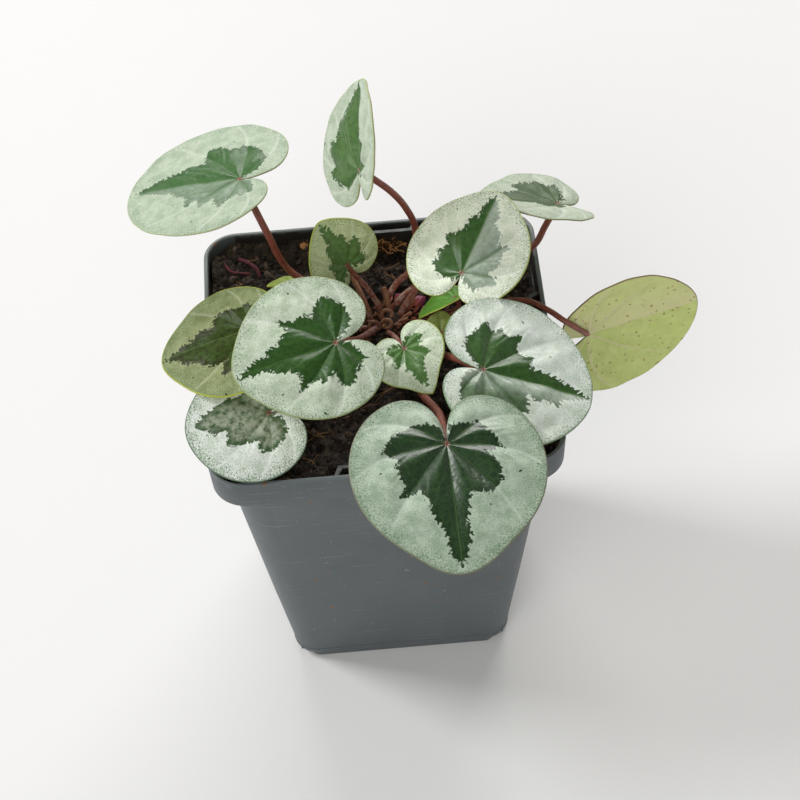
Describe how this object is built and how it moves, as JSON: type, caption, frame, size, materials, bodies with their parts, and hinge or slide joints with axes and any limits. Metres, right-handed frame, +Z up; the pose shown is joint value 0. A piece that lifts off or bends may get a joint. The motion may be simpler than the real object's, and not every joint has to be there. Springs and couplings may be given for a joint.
{
  "type": "potted cyclamen",
  "caption": "Young silver-leaved cyclamen in a square nursery pot: heart-shaped leaves with a dark central mark on reddish stalks over dark peat.",
  "frame": {"origin": "middle of the flat foot under the pot, on the ground", "axes": "+Z up out of the pot, -Y the front of the pot, +X its right side"},
  "size_m": [0.1494, 0.1422, 0.1537],
  "materials": {
    "pot": "moulded, lightly scuffed",
    "soil": "rough peat",
    "tuber": "rough bark",
    "stalk": "fleshy, satin",
    "blade": "leathery, satin, variegated",
    "young_blade": "soft, satin",
    "bud": "soft, satin"
  },
  "bodies": {
    "root": {"pot": "pot", "soil": "soil", "tuber": "tuber", "blade_01": "blade", "stalk_01": "stalk", "blade_02": "blade", "stalk_02": "stalk", "blade_03": "blade", "stalk_03": "stalk", "blade_04": "blade", "stalk_04": "stalk", "blade_05": "blade", "stalk_05": "stalk", "blade_06": "blade", "stalk_06": "stalk", "blade_07": "blade", "stalk_07": "stalk", "blade_08": "blade", "stalk_08": "stalk", "blade_09": "blade", "stalk_09": "stalk", "blade_10": "blade", "stalk_10": "stalk", "blade_11": "blade", "stalk_11": "stalk", "blade_12": "blade", "stalk_12": "stalk", "blade_13": "young_blade", "stalk_13": "stalk", "blade_14": "young_blade", "stalk_14": "stalk", "blade_15": "young_blade", "stalk_15": "stalk", "bud_1": "bud", "bud_2": "bud", "bud_3": "bud"}
  },
  "joints": []
}
